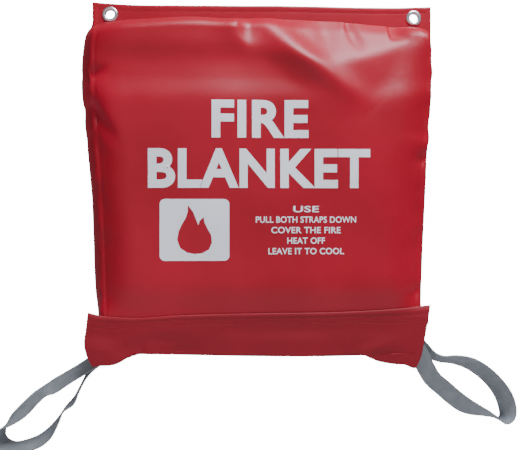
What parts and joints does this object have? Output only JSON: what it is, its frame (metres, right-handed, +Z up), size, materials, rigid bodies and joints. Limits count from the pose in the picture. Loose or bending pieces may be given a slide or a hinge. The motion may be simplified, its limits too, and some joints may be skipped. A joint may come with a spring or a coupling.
{
  "type": "fire blanket",
  "caption": "Wall-hung red tarpaulin pouch that holds a folded glass-cloth fire blanket; two webbing hand loops pull the blanket down past a fold-over closure flap.",
  "frame": {"origin": "halfway between the two eyelets' centres, in the plane of the wall that the pouch hangs against", "axes": "+X to the right along the row of eyelets, +Y into the wall, so the front faces -Y, +Z up"},
  "size_m": [0.7223, 0.0536, 0.6163],
  "materials": {
    "pouch_tarpaulin": "PVC-coated polyester tarpaulin, semi-gloss",
    "sewing_thread": "polyester thread, matt",
    "eyelet_metal": "bright zinc-plated steel",
    "hook_and_loop": "woven nylon tape with hooks or pile, matt",
    "strap_webbing": "woven polyester webbing, matt",
    "strap_thread": "polyester thread, matt",
    "blanket_cloth": "coated woven glass cloth, satin",
    "printed_ink": "white screen-printed ink, matt"
  },
  "bodies": {
    "pouch": {"back_panel": "pouch_tarpaulin", "front_panel": "pouch_tarpaulin", "left_gusset": "pouch_tarpaulin", "right_gusset": "pouch_tarpaulin", "header_band": "pouch_tarpaulin", "header_stitching": "sewing_thread", "front_seam_stitching": "sewing_thread", "front_hem_stitching": "sewing_thread", "loop_tape_stitching": "sewing_thread", "left_eyelet": "eyelet_metal", "left_eyelet_washer": "eyelet_metal", "right_eyelet": "eyelet_metal", "right_eyelet_washer": "eyelet_metal", "loop_tape": "hook_and_loop"},
    "flap_base": {"flap_web": "pouch_tarpaulin"},
    "flap_front": {"closure_flap": "pouch_tarpaulin", "hook_tape": "hook_and_loop", "flap_stitching": "sewing_thread"},
    "blanket": {"folded_blanket": "blanket_cloth", "left_corner_patch": "blanket_cloth", "right_corner_patch": "blanket_cloth", "left_strap_tail": "strap_webbing", "right_strap_tail": "strap_webbing", "left_strap_stitching": "strap_thread", "right_strap_stitching": "strap_thread"},
    "left_loop": {"left_hand_loop": "strap_webbing"},
    "right_loop": {"right_hand_loop": "strap_webbing"}
  },
  "joints": [
    {"name": "blanket_pull", "type": "slide", "parent": "pouch", "child": "blanket", "axis": [0, 0, -1], "range_m": [0, 0.42], "deforming": ["flap_web", "closure_flap", "hook_tape", "flap_stitching"]},
    {"name": "flap_drop", "type": "hinge", "parent": "pouch", "child": "flap_base", "pos_m": [0, -0.0006, -0.471], "axis": [1, 0, 0], "range_deg": [0, 90]},
    {"name": "flap_unfold", "type": "hinge", "parent": "flap_base", "child": "flap_front", "pos_m": [0, -0.0526, -0.471], "axis": [1, 0, 0], "range_deg": [0, 90]},
    {"name": "left_loop_swing", "type": "hinge", "parent": "blanket", "child": "left_loop", "pos_m": [-0.225, -0.025, -0.48], "axis": [0, 1, 0], "range_deg": [-48, 40]},
    {"name": "right_loop_swing", "type": "hinge", "parent": "blanket", "child": "right_loop", "pos_m": [0.225, -0.025, -0.48], "axis": [0, 1, 0], "range_deg": [-30, 57]}
  ],
  "couplings": [
    {"joint": "flap_drop", "follows": "blanket_pull", "rad_per_m": 3.7399},
    {"joint": "flap_unfold", "follows": "blanket_pull", "rad_per_m": 3.7399}
  ]
}
